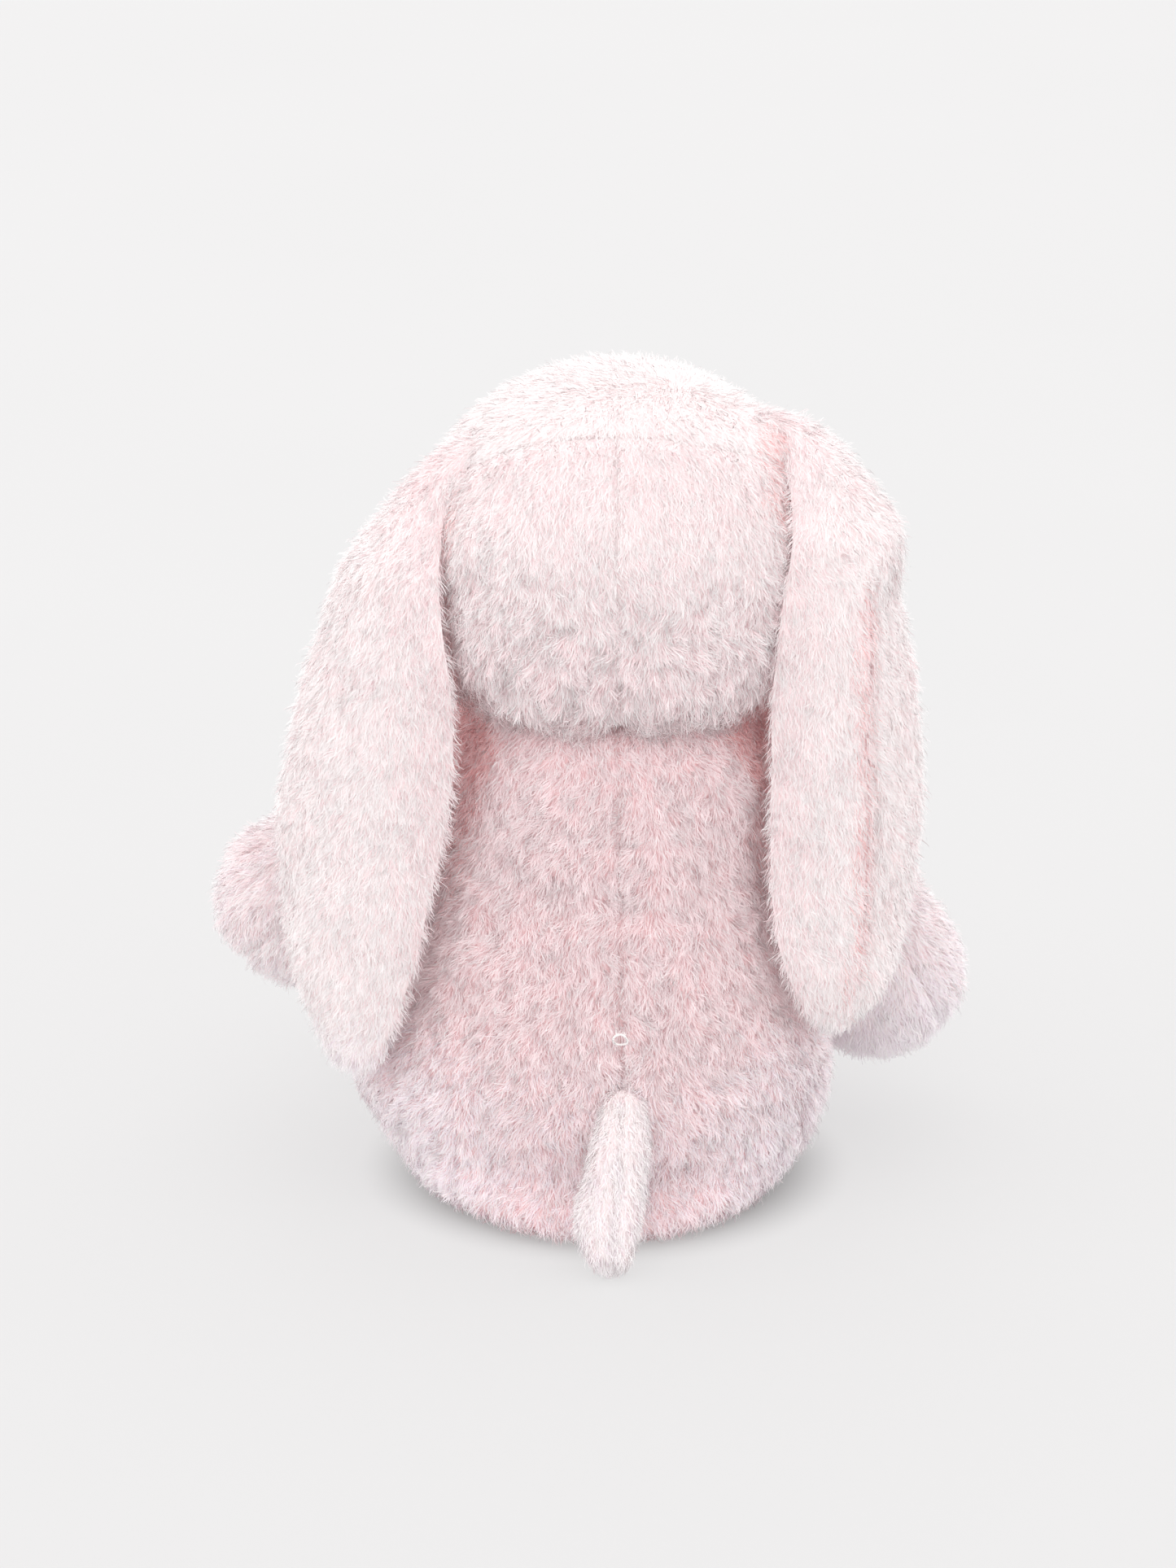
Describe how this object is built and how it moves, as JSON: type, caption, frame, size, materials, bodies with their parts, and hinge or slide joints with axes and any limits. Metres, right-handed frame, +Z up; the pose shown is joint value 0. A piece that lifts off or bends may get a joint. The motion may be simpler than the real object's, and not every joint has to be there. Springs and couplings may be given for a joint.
{
  "type": "plush rabbit",
  "caption": "Sitting long-pile plush rabbit with lop ears that hang down its back, stuffed limbs, and a soft tail resting on the floor.",
  "frame": {"origin": "on the floor, at the middle of the flat seat the rabbit sits on", "axes": "+Z up, -Y the way the rabbit faces, +X to the rabbit's left"},
  "size_m": [0.3455, 0.331, 0.399],
  "materials": {
    "pink_fur": "long soft pile",
    "ear_lining_fur": "short soft pile",
    "sole_plush": "short velvet pile",
    "base_cloth": "short brushed pile",
    "polyester_stuffing": "loose fibre",
    "pouch_cloth": "plain weave",
    "plastic_pellets": "satin",
    "white_thread": "spun thread",
    "rose_thread": "satin stitch",
    "eye_plastic": "polished",
    "washer_plastic": "moulded"
  },
  "bodies": {
    "torso": {"torso_back_left_panel": "pink_fur", "torso_back_right_panel": "pink_fur", "torso_front_left_panel": "pink_fur", "torso_front_right_panel": "pink_fur", "seat_base_panel": "base_cloth", "torso_stuffing": "polyester_stuffing", "pellet_pouch": "pouch_cloth", "pellets": "plastic_pellets", "closing_seam_thread": "white_thread"},
    "head": {"head_back_left_panel": "pink_fur", "head_back_right_panel": "pink_fur", "head_crown_panel": "pink_fur", "head_cheek_left_panel": "pink_fur", "head_cheek_right_panel": "pink_fur", "head_stuffing": "polyester_stuffing", "muzzle_panel": "pink_fur", "muzzle_stuffing": "polyester_stuffing", "nose_embroidery": "rose_thread", "mouth_embroidery": "rose_thread", "eye_left": "eye_plastic", "eye_right": "eye_plastic", "eye_left_washer": "washer_plastic", "eye_right_washer": "washer_plastic", "ear_left_root_seam": "pink_fur", "ear_right_root_seam": "pink_fur"},
    "ear_left": {"ear_left_outer_panel": "pink_fur", "ear_left_lining": "ear_lining_fur"},
    "arm_left": {"arm_left_outer_panel": "pink_fur", "arm_left_inner_panel": "pink_fur", "arm_left_stuffing": "polyester_stuffing"},
    "leg_left": {"leg_left_outer_panel": "pink_fur", "leg_left_inner_panel": "pink_fur", "leg_left_stuffing": "polyester_stuffing", "foot_left_sole_pad": "sole_plush"},
    "ear_right": {"ear_right_outer_panel": "pink_fur", "ear_right_lining": "ear_lining_fur"},
    "arm_right": {"arm_right_outer_panel": "pink_fur", "arm_right_inner_panel": "pink_fur", "arm_right_stuffing": "polyester_stuffing"},
    "leg_right": {"leg_right_outer_panel": "pink_fur", "leg_right_inner_panel": "pink_fur", "leg_right_stuffing": "polyester_stuffing", "foot_right_sole_pad": "sole_plush"},
    "tail": {"tail_upper_panel": "pink_fur", "tail_lower_panel": "pink_fur", "tail_stuffing": "polyester_stuffing"}
  },
  "joints": [
    {"name": "head_nod", "type": "hinge", "parent": "torso", "child": "head", "pos_m": [0, 0, 0.226], "axis": [1, 0, 0], "range_deg": [0, 12], "stiffness_Nm_per_rad": 1.2},
    {"name": "ear_left_lift", "type": "hinge", "parent": "head", "child": "ear_left", "pos_m": [0.0818, 0.0159, 0.3443], "axis": [0.27, -0.9629, 0], "range_deg": [0, 100]},
    {"name": "ear_right_lift", "type": "hinge", "parent": "head", "child": "ear_right", "pos_m": [-0.0905, 0.0164, 0.3515], "axis": [0.27, 0.9629, 0], "range_deg": [0, 100]},
    {"name": "arm_left_lift", "type": "hinge", "parent": "torso", "child": "arm_left", "pos_m": [0.077, -0.016, 0.19], "axis": [0, -1, 0], "range_deg": [0, 60]},
    {"name": "arm_right_lift", "type": "hinge", "parent": "torso", "child": "arm_right", "pos_m": [-0.08, -0.024, 0.184], "axis": [0, 1, 0], "range_deg": [0, 60]},
    {"name": "leg_left_lift", "type": "hinge", "parent": "torso", "child": "leg_left", "pos_m": [0.062, -0.08, 0.0385], "axis": [-1, 0, 0], "range_deg": [0, 30]},
    {"name": "leg_right_lift", "type": "hinge", "parent": "torso", "child": "leg_right", "pos_m": [-0.062, -0.08, 0.0385], "axis": [-1, 0, 0], "range_deg": [0, 30]},
    {"name": "tail_lift", "type": "hinge", "parent": "torso", "child": "tail", "pos_m": [0, 0.089, 0.073], "axis": [1, 0, 0], "range_deg": [0, 60]}
  ]
}
